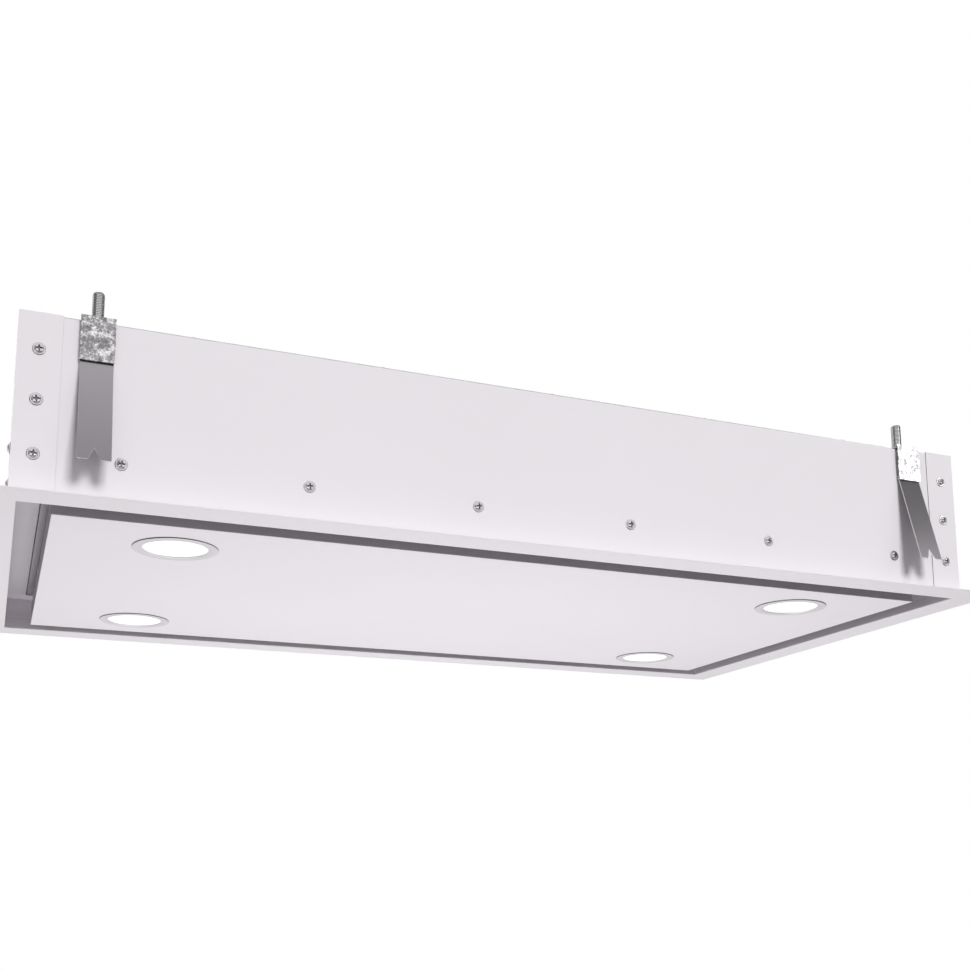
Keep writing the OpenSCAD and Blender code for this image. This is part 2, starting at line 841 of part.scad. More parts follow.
module hinge_fixed_leaves() {
    knuckle_w = hinge_w / 4 - fit_gap;
    color("silver") at_hinges() difference() {
        union() {
            for (x0 = [-hinge_w / 2, hinge_w / 2 - knuckle_w]) {
                knuckle(x0, x0 + knuckle_w, knuckle_r);
                span([x0, -knuckle_r, 0],
                    [x0 + knuckle_w, -knuckle_r + leaf_t, liner_h - hinge_z]);
            }
            span([-hinge_w / 2, -knuckle_r, liner_h - hinge_z - leaf_t],
                [hinge_w / 2, open_d / 2 - hinge_y - fit_gap, liner_h - hinge_z]);
        }
        knuckle(-hinge_w, hinge_w, hinge_pin_r);
    }
}

module hinge_panel_leaves() {
    half = hinge_w / 4;
    wall = panel_d / 2 - panel_t - hinge_y;
    color("silver") at_hinges() difference() {
        union() {
            knuckle(-half, half, knuckle_r);
            span([-half, wall - leaf_t, panel_t - rim_h - hinge_over_rim], [half, wall, 0]);
            span([-half, 0, -knuckle_r], [half, wall, 0]);
        }
        knuckle(-hinge_w, hinge_w, hinge_pin_r + run_gap);
    }
}

module hinge_pins() {
    color("silver") at_hinges() knuckle(-hinge_w / 2, hinge_w / 2, hinge_pin_r);
}

// Catches on the near side
module at_catches() {
    both_x() translate([-hinge_x, -panel_d / 2, 0]) children();
}

module catch_brackets() {
    color("silver") at_catches()
        span([-catch_w / 2, -catch_reach, liner_h - catch_bracket_t], [catch_w / 2, catch_lip, liner_h]);
}

module catch_magnets() {
    color("dimgray") at_catches()
        span([-magnet_w / 2, panel_t, catch_z], [magnet_w / 2, catch_lip, liner_h - catch_bracket_t]);
}

// Filters, their rails and latches
function filter_x(i) = (i - (filter_count + 1) / 2) * (filter_pitch + bar_w);

module filter_rail_front() {
    color("silver") difference() {
        span([-intake_w / 2, -intake_d / 2, liner_h],
            [intake_w / 2, -intake_d / 2 + rail_t, shelf_top + shelf_lip_h]);
        latch_slots();
    }
}

module filter_rail_rear() {
    color("silver") {
        span([-intake_w / 2, intake_d / 2 - rail_t, liner_h],
            [intake_w / 2, intake_d / 2, shelf_top + shelf_lip_h]);
        span([-intake_w / 2, intake_d / 2 - rail_ledge, liner_h], [intake_w / 2, intake_d / 2, shelf_top]);
    }
}

module filter_bars() {
    color("silver") for (i = [1:filter_count - 1])
        translate([(filter_x(i) + filter_x(i + 1)) / 2, 0, 0])
            span([-bar_w / 2, -intake_d / 2 + rail_t, shelf_top],
                [bar_w / 2, intake_d / 2 - rail_t, shelf_top + filter_t]);
}

module filter(i) {
    color("silver") translate([filter_x(i), 0, filter_z0]) difference() {
        span([-filter_w / 2, filter_y0, 0], [filter_w / 2, filter_y1, filter_t]);
        for (z = [[-over, mesh_inset], [filter_t - mesh_inset, filter_t + over]])
            span([-filter_w / 2 + filter_frame, filter_y0 + latch_member, z[0]],
                [filter_w / 2 - filter_frame, filter_y1 - filter_frame, z[1]]);
        span([-latch_w / 2 - fit_gap, filter_y0 - over, -over],
            [latch_w / 2 + fit_gap, filter_y0 + latch_in + latch_d + latch_travel + fit_gap,
                latch_rise + latch_h + fit_gap]);
    }
}

module filter_latch(i) {
    color("dimgray") translate([filter_x(i), filter_y0, filter_z0]) difference() {
        union() {
            span([-latch_w / 2, latch_in, latch_rise],
                [latch_w / 2, latch_in + latch_d, latch_rise + latch_h]);
            span([-nose_w / 2, -nose_out, nose_rise], [nose_w / 2, latch_in + over, nose_rise + nose_h]);
        }
        span([-thumb_w / 2, latch_in + (latch_d - thumb_d) / 2, -over],
            [thumb_w / 2, latch_in + (latch_d + thumb_d) / 2, latch_rise + thumb_depth]);
    }
}

// Clamps
module clamp_bracket(i) {
    color("silver") at_clamp(i) difference() {
        union() {
            span([-bracket_w / 2, -standoff, leg_bottom],
                [bracket_w / 2, -standoff + bracket_t, bracket_top]);
            span([-bracket_w / 2, -standoff, bracket_top - bracket_t],
                [bracket_w / 2, -fit_gap, bracket_top]);
            span([-web_w / 2, -standoff, bracket_top - bracket_t],
                [web_w / 2, rod_in + web_past_rod, bracket_top]);
            translate([0, rod_in, bracket_top - bracket_t - nut_h])
                cylinder(r = nut_across / sqrt(3), h = nut_h, $fn = 6);
            translate([0, pivot_y, pivot_z]) knuckle(-pivot_mid_w / 2, pivot_mid_w / 2, pivot_r);
            span([-pivot_mid_w / 2, -standoff + bracket_t, pivot_z],
                [pivot_mid_w / 2, pivot_y, pivot_z + pivot_strap_h]);
            translate([0, pivot_y, pivot_z]) knuckle(-tongue_w / 2, tongue_w / 2, pivot_pin_r);
        }
        translate([0, rod_in, leg_bottom])
            cylinder(r = rod_d / 2 + run_gap, h = bracket_h + over);
    }
}

module clamp_rod(i) {
    color("silver") at_clamp(i) translate([0, rod_in, 0]) difference() {
        union() {
            translate([0, 0, rod_foot_z]) cylinder(r = rod_d / 2, h = rod_top - rod_foot_z);
            translate([0, 0, shelf_top + run_gap]) cylinder(r = rod_collar_r, h = rod_collar_h);
            translate([0, 0, rod_foot_z]) cylinder(r = rod_flange_r, h = rod_flange_h);
        }
        translate([0, 0, rod_foot_z - over])
            cylinder(r = socket_across / sqrt(3), h = socket_depth + over, $fn = 6);
    }
}

// Spring tongue: a strip on two knuckles, with a V notch in its tip
module clamp_tongue(i) {
    knuckle_x = pivot_mid_w / 2 + fit_gap;
    color("gray") at_clamp(i) translate([0, pivot_y, pivot_z]) rotate([-tongue_lean, 0, 0])
        difference() {
            union() {
                both_x() rotate([90, 0, 0]) knuckle(knuckle_x, tongue_w / 2, pivot_r);
                difference() {
                    span([-tongue_w / 2, -tongue_t / 2, -tongue_len], [tongue_w / 2, tongue_t / 2, 0]);
                    span([-knuckle_x, -tongue_t, -pivot_r - tongue_t], [knuckle_x, tongue_t, over]);
                    translate([0, tongue_t, -tongue_len]) rotate([90, 0, 0])
                        linear_extrude(2 * tongue_t) polygon([[-notch_w / 2, -over],
                            [-notch_w / 2, 0], [0, notch_depth], [notch_w / 2, 0], [notch_w / 2, -over]]);
                }
            }
            rotate([90, 0, 0]) knuckle(-tongue_w, tongue_w, pivot_pin_r + run_gap);
        }
}

// Screws, grouped by where they sit
module side_screws() {
    color("silver") {
        at_corner_screws() pan_screw();
        at_side_screws() pan_screw();
    }
}

module long_side_screws() {
    color("silver") at_row_screws() pan_screw();
}

module top_screws() {
    color("silver") {
        at_top_screws() pan_screw();
        at_top_side_screws() pan_screw();
    }
}

flange_frame();
slot_liner();
intake_shelf();
front_panel();
rear_panel();
left_panel();
right_panel();
top_panel();
clamp_channels();
outlet_collar();
flap_pin();
left_flap();
right_flap();
scroll_casing();
scroll_lid();
inlet_ring();
motor();
motor_shaft();
impeller();
impeller_nut();
control_box();
control_cover();
led_driver();
cable_gland();
drop_panel();
lamp_bezel(1);  // lamp_bezel_1
lamp_bezel(2);  // lamp_bezel_2
lamp_bezel(3);  // lamp_bezel_3
lamp_bezel(4);  // lamp_bezel_4
lamp_lenses();
lamp_bodies();
hinge_fixed_leaves();
hinge_panel_leaves();
hinge_pins();
catch_brackets();
catch_magnets();
filter_rail_front();
filter_rail_rear();
filter_bars();
filter(1);  // filter_1
filter(2);  // filter_2
filter(3);  // filter_3
filter_latch(1);  // filter_latch_1
filter_latch(2);  // filter_latch_2
filter_latch(3);  // filter_latch_3
clamp_bracket(1);  // clamp_bracket_1
clamp_bracket(2);  // clamp_bracket_2
clamp_bracket(3);  // clamp_bracket_3
clamp_bracket(4);  // clamp_bracket_4
clamp_rod(1);  // clamp_rod_1
clamp_rod(2);  // clamp_rod_2
clamp_rod(3);  // clamp_rod_3
clamp_rod(4);  // clamp_rod_4
clamp_tongue(1);  // clamp_tongue_1
clamp_tongue(2);  // clamp_tongue_2
clamp_tongue(3);  // clamp_tongue_3
clamp_tongue(4);  // clamp_tongue_4
side_screws();
long_side_screws();
top_screws();
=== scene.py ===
"""Looks of the ceiling range hood: finishes, rounded edges, screw heads, threads and filter mesh."""

import json
from math import cos, pi, radians, sin, sqrt

import bmesh
import bpy
from mathutils import Matrix, Vector

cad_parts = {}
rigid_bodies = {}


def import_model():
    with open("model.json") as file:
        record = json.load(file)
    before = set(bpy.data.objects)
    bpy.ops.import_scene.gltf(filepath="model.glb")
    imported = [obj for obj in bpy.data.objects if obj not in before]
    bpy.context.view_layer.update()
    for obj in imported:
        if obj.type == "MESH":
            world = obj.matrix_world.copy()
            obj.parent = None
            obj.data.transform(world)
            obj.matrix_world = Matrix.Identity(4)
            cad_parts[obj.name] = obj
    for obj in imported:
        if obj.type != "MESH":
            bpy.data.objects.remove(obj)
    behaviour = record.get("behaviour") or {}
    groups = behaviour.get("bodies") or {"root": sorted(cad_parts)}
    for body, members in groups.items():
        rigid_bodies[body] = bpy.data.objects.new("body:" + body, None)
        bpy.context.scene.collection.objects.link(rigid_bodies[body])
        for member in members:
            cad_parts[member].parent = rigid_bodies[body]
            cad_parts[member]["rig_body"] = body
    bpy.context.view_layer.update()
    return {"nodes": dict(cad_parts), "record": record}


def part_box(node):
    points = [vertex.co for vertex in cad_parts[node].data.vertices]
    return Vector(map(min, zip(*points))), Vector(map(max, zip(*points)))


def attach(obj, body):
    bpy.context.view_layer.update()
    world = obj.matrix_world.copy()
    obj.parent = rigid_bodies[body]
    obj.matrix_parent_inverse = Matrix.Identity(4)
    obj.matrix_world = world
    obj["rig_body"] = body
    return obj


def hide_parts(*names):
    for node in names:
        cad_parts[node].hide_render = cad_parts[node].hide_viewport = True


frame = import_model()
nodes = frame["nodes"]
MM = 0.001

# The camera of the photograph, fitted to the straight edges of the flange and housing. Its shift is less
# than the photograph's, so that the other views keep the hood in the picture.
CAMERA_AT = Vector((-568, -1507, -359)) * MM
CAMERA_YAW = radians(22.01)
CAMERA_PITCH = radians(9.49)
CAMERA_ROLL = radians(-0.24)
CAMERA_LENS = 45.74
CAMERA_SHIFT = 0.20
CAMERA_SENSOR = 36
CAMERA_CLIP = (0.05, 100)

# The clamp rods' M12 thread, in mm: shade is painted into its roots up to ROOT_DARK over them, and the
# plating shows its own colour from CREST_BRIGHT under its crests. The rods stand mirrored about the hood's
# centre, so one axis gives all four.
ROD_R = 6.0
PITCH = 1.75
THREAD_DEPTH = 0.60
ROOT_DARK = 0.05
CREST_BRIGHT = 0.1
ROD_AXIS = (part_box("clamp_rod_2")[0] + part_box("clamp_rod_2")[1]) / 2

# Heights in metres between which the spring tongues are painted lighter upwards, as painted light
SHEEN_HEIGHTS = (0.040, 0.150)


# Shader building

class Shader:
    """One material with a Principled shader, whose nodes are added by name."""

    def __init__(self, name, **values):
        self.material = bpy.data.materials.new(name)
        self.material.use_nodes = True
        self.tree = self.material.node_tree
        self.bsdf = self.tree.nodes["Principled BSDF"]
        for key, value in values.items():
            self.bsdf.inputs[key.replace("_", " ")].default_value = value
        self.place = self.add("ShaderNodeTexCoord").outputs["Object"]

    def add(self, kind, inputs=None, **settings):
        node = self.tree.nodes.new(kind)
        for key, value in settings.items():
            setattr(node, key, value)
        for key, value in (inputs or {}).items():
            self.put(node.inputs[key], value)
        return node

    def put(self, socket, value):
        if isinstance(value, bpy.types.NodeSocket):
            self.tree.links.new(value, socket)
        else:
            socket.default_value = value

    def mapped(self, scale):
        return self.add("ShaderNodeMapping", {"Vector": self.place, "Scale": scale}).outputs[0]

    def noise(self, scale, detail=2.0, place=None, rough=0.5):
        return self.add("ShaderNodeTexNoise", {
            "Vector": place or self.place, "Scale": scale, "Detail": detail,
            "Roughness": rough}).outputs["Fac"]

    def cells(self, scale, place):
        return self.add("ShaderNodeTexVoronoi", {"Vector": place, "Scale": scale}).outputs["Color"]

    def span(self, value, low, high, to_low, to_high):
        return self.add("ShaderNodeMapRange", {
            "Value": value, "From Min": low, "From Max": high,
            "To Min": to_low, "To Max": to_high}).outputs["Result"]

    def mix(self, factor, a, b):
        node = self.add("ShaderNodeMix", data_type="RGBA")
        self.put(node.inputs[0], factor)
        self.put(node.inputs[6], a)
        self.put(node.inputs[7], b)
        return node.outputs[2]

    def math(self, operation, a, b):
        node = self.add("ShaderNodeMath", operation=operation)
        self.put(node.inputs[0], a)
        self.put(node.inputs[1], b)
        return node.outputs[0]

    def bump(self, height, strength, distance):
        node = self.add("ShaderNodeBump", {
            "Height": height, "Strength": strength, "Distance": distance})
        self.put(self.bsdf.inputs["Normal"], node.outputs[0])

    def colour(self, value):
        self.put(self.bsdf.inputs["Base Color"], value)

    def roughness(self, value):
        self.put(self.bsdf.inputs["Roughness"], value)


def tone(red, green, blue):
    return (red, green, blue, 1.0)


def shade(colour, factor):
    """The colour made darker or paler, at most white."""
    return tone(*(min(part * factor, 1) for part in colour))


def painted(name, colour, rough=0.58):
    """Powder coat: a faint orange peel, and a tone that drifts a little over the sheet."""
    s = Shader(name, Specular_IOR_Level=0.28)
    drift = s.span(s.noise(3.5, 3), 0.35, 0.65, 0, 1)
    s.colour(s.mix(drift, shade(colour, 0.985), shade(colour, 1)))
    s.roughness(s.span(s.noise(60, 3), 0.3, 0.7, rough - 0.03, rough + 0.04))
    s.bump(s.noise(900, 2), 0.10, 0.0001)
    return s.material


def brushed(name, colour, rough=0.38, contrast=0.16, metallic=1.0):
    """Sheet with fine lines along its length, whichever way the face looks."""
    s = Shader(name, Metallic=metallic)
    along_x = s.mapped((5, 900, 900))
    along_y = s.mapped((900, 5, 900))
    normal = s.add("ShaderNodeSeparateXYZ", {
        "Vector": s.add("ShaderNodeNewGeometry").outputs["True Normal"]}).outputs["X"]
    end_face = s.math("GREATER_THAN", s.math("ABSOLUTE", normal, 0), 0.6)
    lines = s.add("ShaderNodeMix", data_type="VECTOR")
    s.put(lines.inputs[0], end_face)
    s.put(lines.inputs[4], along_x)
    s.put(lines.inputs[5], along_y)
    grain = s.noise(1.0, 3, place=lines.outputs[1])
    s.colour(s.mix(s.span(grain, 0.3, 0.7, 0, 1), shade(colour, 1 - contrast), shade(colour, 1 + contrast)))
    s.roughness(s.span(grain, 0.3, 0.7, rough - 0.05, rough + 0.07))
    s.bump(grain, 0.15, 0.0001)
    return s.material


def galvanised(name, colour, cell=110, contrast=0.10, rough=0.40):
    """Zinc-coated sheet: flat crystals of slightly different shine, a few mm to 10 mm across."""
    s = Shader(name, Metallic=1.0)
    warp = s.add("ShaderNodeVectorMath", operation="ADD")
    s.put(warp.inputs[0], s.place)
    s.put(warp.inputs[1], s.add("ShaderNodeVectorMath", {
        0: s.add("ShaderNodeTexNoise", {"Vector": s.place, "Scale": cell * 0.8}).outputs["Color"],
        "Scale": 0.5 / cell}, operation="SCALE").outputs[0])
    crystal = s.add("ShaderNodeSeparateColor", {
        "Color": s.cells(cell, warp.outputs[0])}).outputs[0]
    streak = s.noise(14, 4)
    shine = s.math("ADD", s.math("MULTIPLY", crystal, 0.7), s.math("MULTIPLY", streak, 0.3))
    s.colour(s.mix(shine, shade(colour, 1 - contrast), shade(colour, 1 + contrast)))
    s.roughness(s.span(crystal, 0, 1, rough - 0.08, rough + 0.10))
    s.bump(crystal, 0.06, 0.0002)
    return s.material


def spangled(name):
    """Heavy zinc on the clamp brackets: ragged light and dark flakes a few mm across."""
    s = Shader(name, Metallic=1.0)
    flakes = s.noise(420, 5, rough=0.80)
    clouds = s.noise(170, 3)
    shine = s.math("ADD", s.math("MULTIPLY", flakes, 0.60), s.math("MULTIPLY", clouds, 0.40))
    ramp = s.add("ShaderNodeValToRGB", {"Fac": shine})
    stops = ramp.color_ramp.elements
    stops[0].position, stops[0].color = 0.41, tone(0.20, 0.195, 0.20)
    stops[1].position, stops[1].color = 0.58, tone(0.90, 0.88, 0.90)
    middle = stops.new(0.50)
    middle.color = tone(0.36, 0.35, 0.36)
    s.colour(ramp.outputs["Color"])
    s.roughness(s.span(shine, 0.4, 0.6, 0.30, 0.16))
    s.bump(flakes, 0.25, 0.0003)
    return s.material


def bright_metal(name, colour, rough=0.16):
    """Plated or polished metal with faint turning marks."""
    s = Shader(name, Metallic=1.0)
    marks = s.noise(260, 4)
    s.colour(s.mix(marks, shade(colour, 0.90), shade(colour, 1)))
    s.roughness(s.span(marks, 0.3, 0.7, rough - 0.03, rough + 0.07))
    s.bump(marks, 0.05, 0.0001)
    return s.material


def threaded(name, colour, rough=0.16):
    """Plated thread: its own colour on the crests, with painted shade darkening the roots."""
    s = Shader(name, Metallic=1.0)
    mirrored = s.add("ShaderNodeVectorMath", {0: s.place}, operation="ABSOLUTE").outputs[0]
    off_axis = s.add("ShaderNodeVectorMath", {0: mirrored, 1: tuple(abs(v) for v in ROD_AXIS)},
                     operation="SUBTRACT").outputs[0]
    flat = s.add("ShaderNodeVectorMath", {0: off_axis, 1: (1, 1, 0)}, operation="MULTIPLY").outputs[0]
    radius = s.add("ShaderNodeVectorMath", {0: flat}, operation="LENGTH").outputs["Value"]
    dark_r, bright_r = ROD_R - THREAD_DEPTH + ROOT_DARK, ROD_R - CREST_BRIGHT
    height = s.span(radius, dark_r * MM, bright_r * MM, 0, 1)
    metal = s.mix(s.noise(260, 4), shade(colour, 0.90), shade(colour, 1))
    # Painted shade: the roots take 0.30 of the colour, fading to the plain metal towards the crests
    s.colour(s.mix(height, shade(colour, 0.30), metal))
    s.roughness(s.span(height, 0, 1, rough + 0.25, rough))
    return s.material


def spring_steel(name, colour, rough=0.28):
    """Smooth strip, painted lighter towards the bend at its top as painted light, with a faint random mottle.
    """
    s = Shader(name, Metallic=1.0, Roughness=rough)
    height = s.add("ShaderNodeSeparateXYZ", {"Vector": s.place}).outputs["Z"]
    # Painted light: the colour runs from a shaded copy at the bottom to a lit copy at the top, plus a random
    # mottle
    sheen_and_mottle = s.math("ADD", s.span(height, *SHEEN_HEIGHTS, 0, 0.85), s.math("MULTIPLY", s.noise(30, 3), 0.15))
    s.colour(s.mix(sheen_and_mottle, shade(colour, 0.84), shade(colour, 1.26)))
    s.bump(s.noise(35, 2), 0.03, 0.0002)
    return s.material


def moulded(name, colour, rough=0.5, grain=700):
    """Moulded plastic with a fine spark-eroded grain."""
    s = Shader(name, Specular_IOR_Level=0.5)
    s.colour(s.mix(s.noise(25, 3), shade(colour, 0.9), shade(colour, 1)))
    s.roughness(s.span(s.noise(120, 2), 0.3, 0.7, rough - 0.05, rough + 0.06))
    s.bump(s.noise(grain, 2), 0.25, 0.0002)
    return s.material


def opal(name):
    """Lit diffuser: an even glow over a satin face."""
    s = Shader(name, Roughness=0.35, Emission_Strength=0.25)
    s.colour(s.mix(s.noise(40, 2), tone(0.90, 0.90, 0.89), tone(0.94, 0.94, 0.93)))
    s.bsdf.inputs["Emission Color"].default_value = tone(1.0, 0.99, 0.985)
    s.bump(s.noise(1200, 2), 0.08, 0.0001)
    return s.material


MATERIALS = {
    "flange_paint": painted("flange_paint", (0.790, 0.760, 0.795)),
    "housing_paint": painted("housing_paint", (0.815, 0.785, 0.820)),
    "panel_paint": painted("panel_paint", (0.800, 0.765, 0.805)),
    "top_zinc": galvanised("top_zinc", (0.60, 0.595, 0.61), cell=90, contrast=0.20),
    "slot_steel": brushed("slot_steel", (0.49, 0.46, 0.495), 0.50, 0.08, 0.45),
    "bezel_satin": brushed("bezel_satin", (0.61, 0.588, 0.614), 0.38, 0.03, 0.30),
    "lens_opal": opal("lens_opal"),
    "sink_aluminium": bright_metal("sink_aluminium", (0.62, 0.62, 0.63), 0.42),
    "duct_zinc": galvanised("duct_zinc", (0.64, 0.64, 0.655), cell=120),
    "flap_aluminium": brushed("flap_aluminium", (0.66, 0.66, 0.67), rough=0.33),
    "pin_steel": bright_metal("pin_steel", (0.60, 0.60, 0.61), 0.22),
    "motor_paint": painted("motor_paint", (0.035, 0.037, 0.042), 0.35),
    "impeller_black": moulded("impeller_black", (0.020, 0.020, 0.022), 0.45),
    "box_zinc": galvanised("box_zinc", (0.64, 0.64, 0.655), cell=140),
    "driver_plastic": moulded("driver_plastic", (0.74, 0.74, 0.72), 0.45),
    "gland_plastic": moulded("gland_plastic", (0.045, 0.045, 0.048), 0.42),
    "leaf_zinc": bright_metal("leaf_zinc", (0.56, 0.565, 0.58), 0.30),
    "magnet_ferrite": moulded("magnet_ferrite", (0.030, 0.029, 0.030), 0.60, 400),
    "filter_aluminium": brushed("filter_aluminium", (0.60, 0.60, 0.61), rough=0.36),
    "latch_plastic": moulded("latch_plastic", (0.025, 0.025, 0.028), 0.40),
    "bracket_zinc": spangled("bracket_zinc"),
    "rod_chrome": threaded("rod_chrome", (0.62, 0.61, 0.62)),
    "tongue_steel": spring_steel("tongue_steel", (0.300, 0.282, 0.303)),
    "screw_zinc": bright_metal("screw_zinc", (0.68, 0.66, 0.68), 0.22),
}
SLOT_OF = {sub["node"]: sub["material_slot"] for sub in frame["record"]["subparts"]}

# Second materials, given to some faces of a piece: painted shade on the bezels' edges, the screws'
# recesses and washers, the side seams and the filters' frames; a painted highlight on the tongues' edges;
# painted light on the filters' sides and the slot's liner. The panel's dark rim is its own paint.
BEZEL_SHADE = painted("bezel_shade", (0.16, 0.155, 0.16), 0.40)
RECESS_SHADE = bright_metal("recess_shade", (0.32, 0.31, 0.32), 0.40)
TONGUE_HIGHLIGHT = bright_metal("tongue_highlight", (0.78, 0.77, 0.78), 0.22)
FILTER_SHADED_FRAME = brushed("filter_frame", (0.34, 0.322, 0.342), 0.42, 0.06, 0.7)
FILTER_LIT_SIDE = brushed("filter_lit_side", (0.66, 0.63, 0.665), 0.42, 0.06, 0.4)
SEAM_SHADE = painted("seam_shade", (0.22, 0.21, 0.225), 0.60)
LINER_LIT = brushed("liner_lit", (0.60, 0.563, 0.605), 0.50, 0.08, 0.45)
RIM_DARK = painted("rim_dark", (0.51, 0.475, 0.517), 0.45)


# Mesh helpers

# Corners closer than WELD, in mm, are one corner, and faces within FLAT degrees are one face
WELD = 0.002
FLAT = 0.5
# A solid's triangles are joined where their corners share a cell of this grid, in cells per metre
GRID = 1e5
# A face runs along an axis while its normal leans less than this towards that axis
LEAN = 0.3


def new_object(name, data):
    thing = bpy.data.objects.new(name, data)
    bpy.context.scene.collection.objects.link(thing)
    return thing


def on_circle(r, share):
    """The point at radius r, after the given share of a turn."""
    return r * cos(2 * pi * share), r * sin(2 * pi * share)


def finish_mesh(mesh, slot, crease=35):
    mesh.materials.clear()
    mesh.materials.append(MATERIALS[slot])
    mesh.shade_smooth()
    mesh.set_sharp_from_angle(angle=radians(crease))


def stand_in(node, name, mesh, crease=35):
    """A new piece in place of one CAD node, on that node's body and with its finish."""
    finish_mesh(mesh, SLOT_OF[node], crease)
    piece = new_object(name, mesh)
    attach(piece, nodes[node]["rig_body"])
    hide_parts(node)
    return piece


def mesh_from(bm, name):
    mesh = bpy.data.meshes.new(name)
    bm.to_mesh(mesh)
    bm.free()
    return mesh


def cad_copy(node):
    """The node's solid as a bmesh with whole faces instead of triangles."""
    bm = bmesh.new()
    bm.from_mesh(nodes[node].data)
    bmesh.ops.remove_doubles(bm, verts=bm.verts, dist=WELD * MM)
    bmesh.ops.dissolve_limit(bm, angle_limit=radians(FLAT), verts=bm.verts, edges=bm.edges)
    return bm


def rounded(node, width, segments=2, least=50, chosen=None):
    """The node with its sharp edges rounded to a bend or a deburred edge."""
    bm = cad_copy(node)
    sharp = [e for e in bm.edges
             if len(e.link_faces) == 2 and e.calc_face_angle(0) > radians(least)
             and (chosen is None or chosen(e))]
    bmesh.ops.bevel(bm, geom=sharp, offset=width * MM, segments=segments, profile=0.5,
                    affect="EDGES", clamp_overlap=True)
    piece = stand_in(node, node + "_formed", mesh_from(bm, node + "_rounded"))
    keep_flats_flat(piece)
    return piece


def keep_flats_flat(piece):
    """Large faces keep their own normal, so only the rounded edges shade round."""
    weigh = piece.modifiers.new("flat faces", "WEIGHTED_NORMAL")
    weigh.mode = "FACE_AREA"
    weigh.weight = 100
    weigh.keep_sharp = True


def islands(node):
    """Lists of vertex places, one for each separate solid of a node."""
    mesh = nodes[node].data
    parent = list(range(len(mesh.vertices)))
    seen = {}
    for v in mesh.vertices:
        key = tuple(round(c * GRID) for c in v.co)
        parent[v.index] = seen.setdefault(key, v.index)

    def root(i):
        while parent[i] != i:
            parent[i] = parent[parent[i]]
            i = parent[i]
        return i

    for e in mesh.edges:
        a, b = root(e.vertices[0]), root(e.vertices[1])
        if a != b:
            parent[a] = b
    groups = {}
    for v in mesh.vertices:
        groups.setdefault(root(v.index), []).append(v.co.copy())
    return list(groups.values())


# Lamp bezels: a stepped satin ring whose outer edge is darkened as painted shade

BEZEL_TURNS = 128
# Radius of the lens that shows, in mm
LENS_R = 34.5
# The ring's section in mm, from the lens outwards and back. Radii count from its inner edge in THROAT, LIP
# and BACK, else from its outer edge. Heights count from its own face in LIP, RIM and ROLL, else from the
# panel's face.
BEZEL_THROAT = ((0, -0.2), (0.15, -0.5))
BEZEL_LIP = ((0.5, 0.35), (1.1, 0.08), (1.8, 0.02))
BEZEL_RIM = ((-1.2, 0), (-0.5, 0.04))
BEZEL_ROLL = ((-0.18, 0.16), (-0.05, 0.34))
BEZEL_FOOT = ((0, -0.12), (-0.25, -0.02))
BEZEL_BACK = (0.4, -0.01)
# Two turned grooves, as shares of the ring's width
RING_GROOVES = (0.30, 0.36)
GROOVE_DEPTH = 0.16
GROOVE_HALF = 0.12
GROOVE_EDGE = 0.02


def bezel_section(inner, outer, face_z, panel_z):
    """The ring's outline as (radius, height), and which of its sides are the outer edge."""
    section = [(inner + r, panel_z + z) for r, z in BEZEL_THROAT]
    section += [(inner + r, face_z + z) for r, z in BEZEL_LIP]
    for share in RING_GROOVES:
        r = inner + (outer - inner) * share
        section += [(r - GROOVE_HALF, face_z + GROOVE_EDGE), (r, face_z + GROOVE_DEPTH),
                    (r + GROOVE_HALF, face_z + GROOVE_EDGE)]
    section += [(outer + r, face_z + z) for r, z in BEZEL_RIM]
    edge_from = len(section)
    section += [(outer + r, face_z + z) for r, z in BEZEL_ROLL]
    section += [(outer + r, panel_z + z) for r, z in BEZEL_FOOT]
    edge = range(edge_from, len(section) - 1)
    section.append((inner + BEZEL_BACK[0], panel_z + BEZEL_BACK[1]))
    return section, edge


def make_bezel(index):
    """The ring's section, turned about the lamp's axis, with painted shade on its outer edge in a dark
    material.
    """
    node = f"lamp_bezel_{index}"
    low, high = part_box(node)
    centre = (low + high) / 2
    section, edge = bezel_section(
        LENS_R, (high.x - low.x) / 2 / MM, low.z / MM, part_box("drop_panel")[0].z / MM)
    shade_marks = []
    bm = bmesh.new()
    rows = []
    for i in range(BEZEL_TURNS):
        row = []
        for r, z in section:
            x, y = on_circle(r, i / BEZEL_TURNS)
            row.append(bm.verts.new((centre.x + x * MM, centre.y + y * MM, z * MM)))
        rows.append(row)
    count = len(section)
    for i in range(BEZEL_TURNS):
        j = (i + 1) % BEZEL_TURNS
        for k in range(count):
            m = (k + 1) % count
            bm.faces.new((rows[i][k], rows[i][m], rows[j][m], rows[j][k]))
            shade_marks.append(1 if k in edge else 0)
    bmesh.ops.recalc_face_normals(bm, faces=bm.faces)
    piece = stand_in(node, node + "_turned", mesh_from(bm, node + "_turned"), crease=40)
    # The outer edge takes painted shade
    piece.data.materials.append(BEZEL_SHADE)
    piece.data.polygons.foreach_set("material_index", shade_marks)


# Plain materials on every CAD node

def dress_cad_nodes():
    for node, thing in nodes.items():
        thing.data.materials.clear()
        thing.data.materials.append(MATERIALS[SLOT_OF[node]])


# Screws: a washer flange, a domed head and a cross recess, in mm

HEAD_R = 6.25
WASHER_H = 0.9
# The washer's last WASHER_BEND falls by WASHER_DROP, and shade is painted on it outside WASHER_EDGE_R
WASHER_BEND = 0.7
WASHER_DROP = 0.6
WASHER_EDGE_R = 6.12
DOME_R = 4.7
DOME_H = 3.2
DOME_FULLNESS = 2.6
SHANK_R = 2.0
SHANK_LEN = 9.0
SHANK_CHAMFER = 0.5
